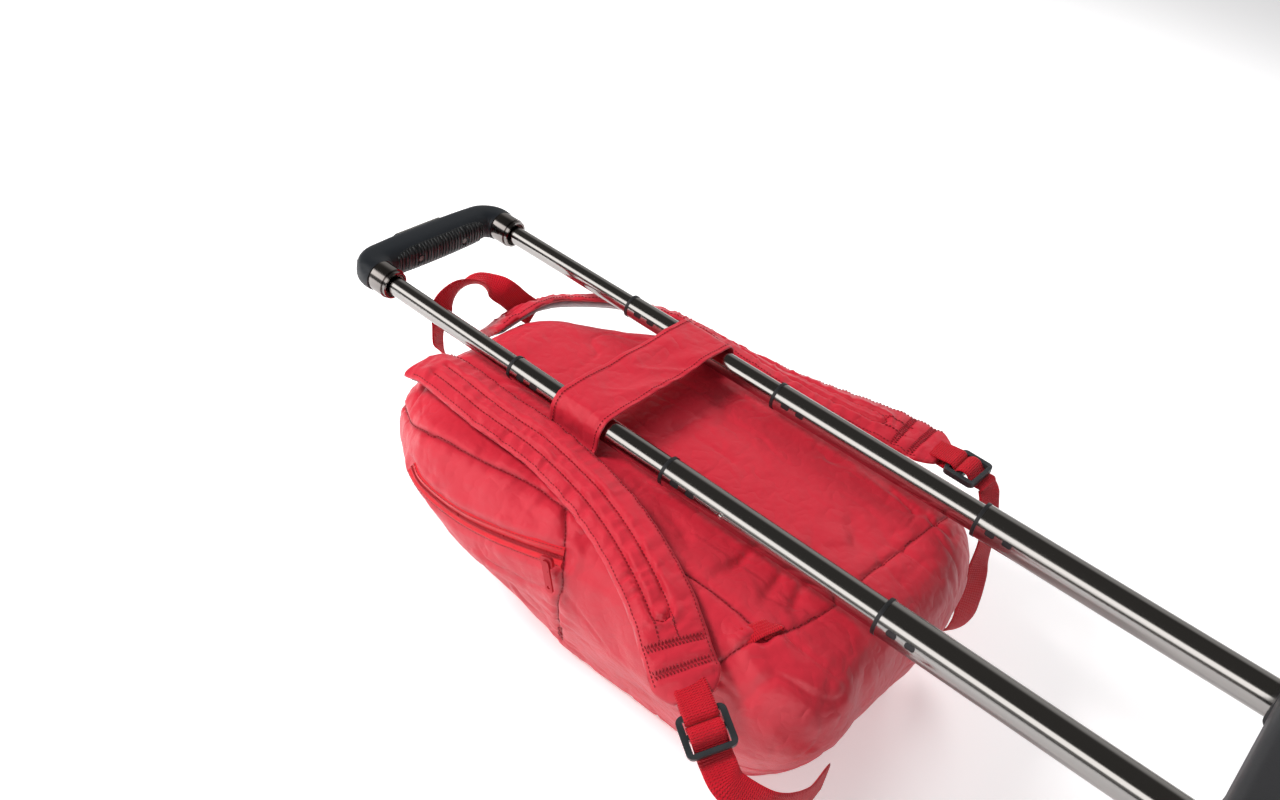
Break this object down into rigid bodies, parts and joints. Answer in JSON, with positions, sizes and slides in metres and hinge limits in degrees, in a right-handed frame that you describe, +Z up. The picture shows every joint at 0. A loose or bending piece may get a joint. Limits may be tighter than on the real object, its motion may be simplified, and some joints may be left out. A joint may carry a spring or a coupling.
{
  "type": "wheeled backpack on a telescopic handle",
  "caption": "Soft backpack carried by its pass-through band on a telescopic trolley handle with a wheeled base, shoulder straps, haul loop and zippers.",
  "frame": {"origin": "on the floor under the bag, midway between the two handle tubes", "axes": "+Y along the tubes towards the grip, +Z up from the floor through the back panel, +X across the bag"},
  "size_m": [0.4147, 0.8741, 0.244],
  "materials": {
    "tube_metal": "dark gunmetal plated",
    "bush_plastic": "black acetal",
    "bright_steel": "bright",
    "grip_rubber": "soft-touch, matt",
    "grip_rib_plastic": "satin black",
    "trim_metal": "satin",
    "collar_metal": "dark gunmetal plated",
    "screw_steel": "blackened",
    "base_plastic": "fine texture",
    "pad_rubber": "matt",
    "tyre_rubber": "matt",
    "bag_fabric": "light woven nylon with a soft sheen",
    "strap_mesh": "spacer mesh",
    "webbing": "ribbed webbing",
    "buckle_plastic": "satin black",
    "zip_tape": "coil zipper",
    "zip_metal": "enamelled"
  },
  "bodies": {
    "base": {"stage4_tube_left": "tube_metal", "stage4_tube_right": "tube_metal", "stage4_bushes": "bush_plastic", "base_housing": "base_plastic", "toe_plate": "base_plastic", "toe_screws": "screw_steel", "toe_pads": "pad_rubber", "axle": "bright_steel", "axle_clips": "screw_steel"},
    "wheel_l": {"wheel_left": "base_plastic", "tyre_left": "tyre_rubber"},
    "wheel_r": {"wheel_right": "base_plastic", "tyre_right": "tyre_rubber"},
    "lower_stage": {"stage3_tube_left": "tube_metal", "stage3_tube_right": "tube_metal", "stage3_bushes": "bush_plastic", "stage3_guides": "bush_plastic", "stage3_ball": "bright_steel"},
    "middle_stage": {"stage2_tube_left": "tube_metal", "stage2_tube_right": "tube_metal", "stage2_bushes": "bush_plastic", "stage2_guides": "bush_plastic"},
    "handle": {"stage1_tube_left": "tube_metal", "stage1_tube_right": "tube_metal", "stage1_guides": "bush_plastic", "grip_shell": "grip_rubber", "grip_ribs": "grip_rib_plastic", "grip_screws": "screw_steel", "trim_plate": "trim_metal", "collar_left": "collar_metal", "collar_right": "collar_metal", "collar_screws": "screw_steel"},
    "release": {"push_button": "grip_rib_plastic", "release_yoke": "base_plastic", "pull_rods": "bright_steel", "button_spring": "bright_steel"},
    "bag": {"bag_body": "bag_fabric", "bottom_panel": "bag_fabric", "back_panel": "bag_fabric", "pass_band": "bag_fabric", "strap_left": "bag_fabric", "strap_right": "bag_fabric", "strap_mesh_left": "strap_mesh", "strap_mesh_right": "strap_mesh", "haul_loop": "webbing", "buckle_left": "buckle_plastic", "buckle_right": "buckle_plastic", "strap_loop_left": "webbing", "strap_loop_right": "webbing", "webbing_left": "webbing", "webbing_right": "webbing", "tab_left": "bag_fabric", "tab_right": "bag_fabric", "side_zip": "zip_tape", "main_zip": "zip_tape"},
    "side_slider": {"side_slider": "zip_metal", "side_puller": "zip_metal"},
    "main_slider": {"main_slider": "zip_metal", "main_puller": "zip_metal"}
  },
  "joints": [
    {"name": "lower_slide", "type": "slide", "parent": "base", "child": "lower_stage", "axis": [0, 1, 0], "range_m": [-0.19, 0]},
    {"name": "middle_slide", "type": "slide", "parent": "lower_stage", "child": "middle_stage", "axis": [0, 1, 0], "range_m": [-0.045, 0]},
    {"name": "handle_slide", "type": "slide", "parent": "middle_stage", "child": "handle", "axis": [0, 1, 0], "range_m": [-0.15, 0]},
    {"name": "button_press", "type": "slide", "parent": "handle", "child": "release", "axis": [0, -1, 0], "range_m": [0, 0.004], "stiffness_N_per_m": 900, "springref_m": -0.003},
    {"name": "bag_slide", "type": "slide", "parent": "middle_stage", "child": "bag", "axis": [0, 1, 0], "range_m": [-0.02, 0.03]},
    {"name": "wheel_left_spin", "type": "hinge", "parent": "base", "child": "wheel_l", "pos_m": [0, -0.465, 0.211], "axis": [1, 0, 0], "continuous": true},
    {"name": "wheel_right_spin", "type": "hinge", "parent": "base", "child": "wheel_r", "pos_m": [0, -0.465, 0.211], "axis": [1, 0, 0], "continuous": true},
    {"name": "side_zip_slide", "type": "slide", "parent": "bag", "child": "side_slider", "axis": [0, 0.9397, -0.342], "range_m": [0, 0.11]},
    {"name": "main_zip_slide", "type": "slide", "parent": "bag", "child": "main_slider", "axis": [0, 1, 0], "range_m": [0, 0.13]}
  ]
}
